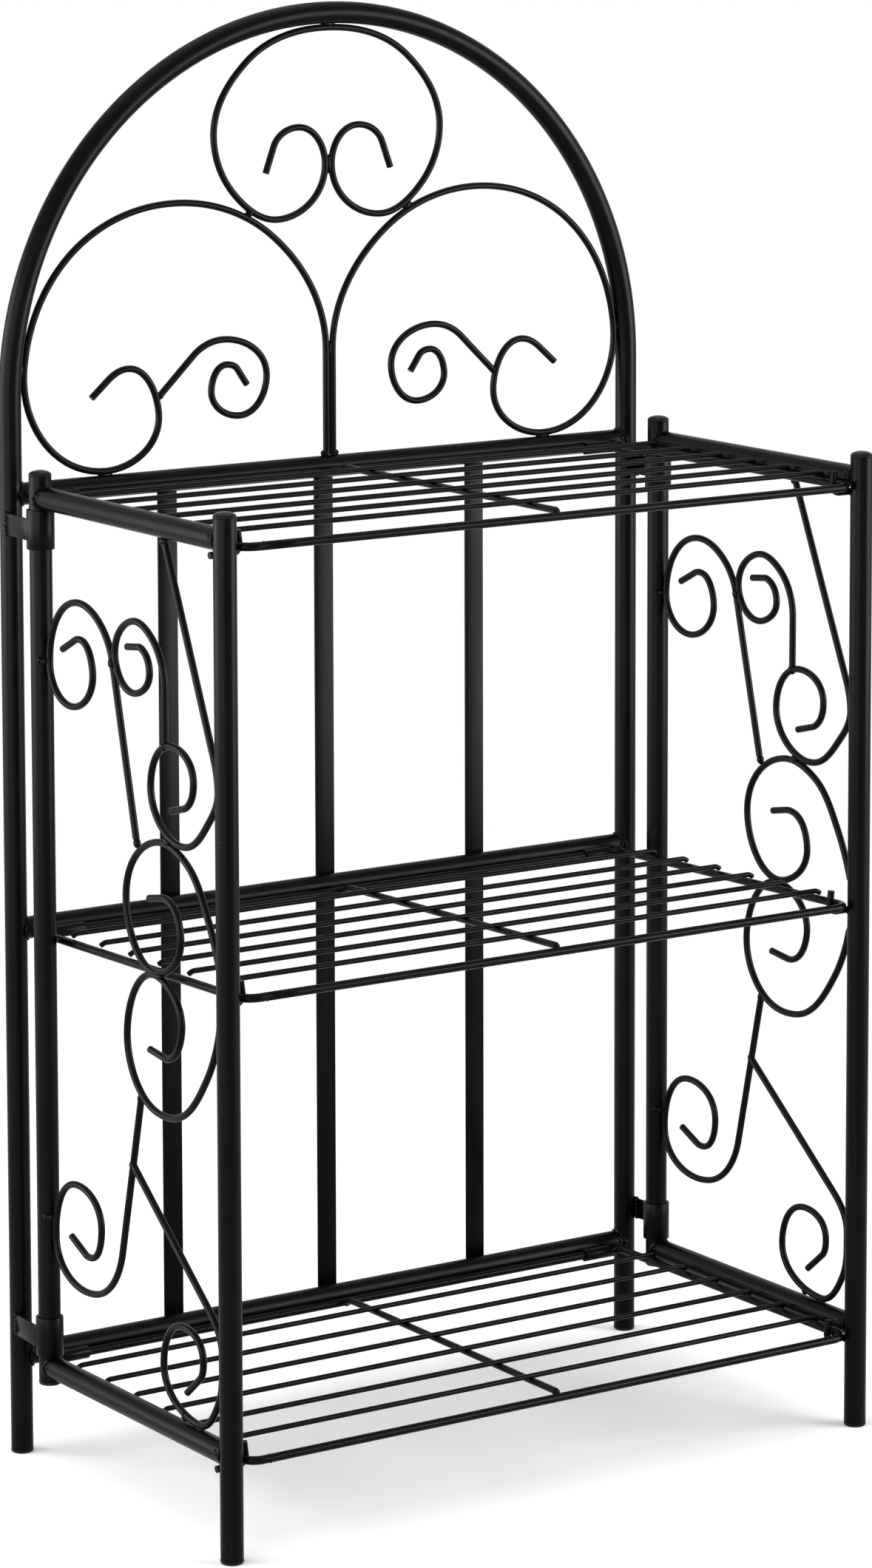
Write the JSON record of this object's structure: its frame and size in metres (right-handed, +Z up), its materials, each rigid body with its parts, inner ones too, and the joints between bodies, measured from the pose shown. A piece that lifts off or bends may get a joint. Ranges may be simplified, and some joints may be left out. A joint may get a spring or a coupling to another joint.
{
  "type": "folding plant stand",
  "caption": "Folding tubular steel plant stand with an arched scrollwork back, hinged scrollwork side panels and tip-up wire shelves hooked between them.",
  "frame": {"origin": "on the floor, under the middle of the stand's width and depth", "axes": "+Z up along the posts, +X to the right of someone facing the stand, -Y out of the open front"},
  "size_m": [0.5538, 0.3074, 1.036],
  "materials": {
    "powder_coat": "satin black powder coat",
    "end_plastic": "moulded black plastic"
  },
  "bodies": {
    "back_frame": {"arch_tube": "powder_coat", "bottom_cross_tube": "powder_coat", "middle_cross_tube": "powder_coat", "top_cross_tube": "powder_coat", "left_slat": "powder_coat", "centre_slat": "powder_coat", "right_slat": "powder_coat", "crown_scroll": "powder_coat", "left_arch_scroll": "powder_coat", "right_arch_scroll": "powder_coat", "left_arch_curl": "powder_coat", "right_arch_curl": "powder_coat", "left_upper_strap": "powder_coat", "left_lower_strap": "powder_coat", "right_upper_strap": "powder_coat", "right_lower_strap": "powder_coat", "bottom_left_sleeve": "powder_coat", "bottom_right_sleeve": "powder_coat", "middle_left_sleeve": "powder_coat", "middle_right_sleeve": "powder_coat", "top_left_sleeve": "powder_coat", "top_right_sleeve": "powder_coat", "left_rear_foot": "end_plastic", "right_rear_foot": "end_plastic"},
    "left_panel": {"left_rear_post": "powder_coat", "left_front_post": "powder_coat", "left_top_rail": "powder_coat", "left_bottom_rail": "powder_coat", "left_upper_scrolls": "powder_coat", "left_middle_scrolls": "powder_coat", "left_lower_scrolls": "powder_coat", "left_bottom_hook": "powder_coat", "left_middle_hook": "powder_coat", "left_top_hook": "powder_coat", "left_rear_cap": "end_plastic", "left_front_cap": "end_plastic", "left_rear_plug": "end_plastic", "left_front_foot": "end_plastic"},
    "right_panel": {"right_rear_post": "powder_coat", "right_front_post": "powder_coat", "right_top_rail": "powder_coat", "right_bottom_rail": "powder_coat", "right_upper_scrolls": "powder_coat", "right_middle_scrolls": "powder_coat", "right_lower_scrolls": "powder_coat", "right_bottom_hook": "powder_coat", "right_middle_hook": "powder_coat", "right_top_hook": "powder_coat", "right_rear_cap": "end_plastic", "right_front_cap": "end_plastic", "right_rear_plug": "end_plastic", "right_front_foot": "end_plastic"},
    "bottom_shelf": {"bottom_shelf_frame": "powder_coat", "bottom_shelf_grid": "powder_coat"},
    "middle_shelf": {"middle_shelf_frame": "powder_coat", "middle_shelf_grid": "powder_coat"},
    "top_shelf": {"top_shelf_frame": "powder_coat", "top_shelf_grid": "powder_coat"}
  },
  "joints": [
    {"name": "bottom_shelf_tip", "type": "hinge", "parent": "back_frame", "child": "bottom_shelf", "pos_m": [0, 0.13045, 0.0685], "axis": [-1, 0, 0], "range_deg": [0, 90]},
    {"name": "middle_shelf_tip", "type": "hinge", "parent": "back_frame", "child": "middle_shelf", "pos_m": [0, 0.13045, 0.381], "axis": [-1, 0, 0], "range_deg": [0, 88.5]},
    {"name": "top_shelf_tip", "type": "hinge", "parent": "back_frame", "child": "top_shelf", "pos_m": [0, 0.13045, 0.6935], "axis": [-1, 0, 0], "range_deg": [0, 87.5]},
    {"name": "left_panel_play", "type": "hinge", "parent": "back_frame", "child": "left_panel", "pos_m": [-0.267, 0.10135, 0.386], "axis": [0, 0, 1], "range_deg": [-0.1, 0.4]},
    {"name": "right_panel_play", "type": "hinge", "parent": "back_frame", "child": "right_panel", "pos_m": [0.267, 0.10135, 0.386], "axis": [0, 0, -1], "range_deg": [-0.1, 0.4]}
  ]
}
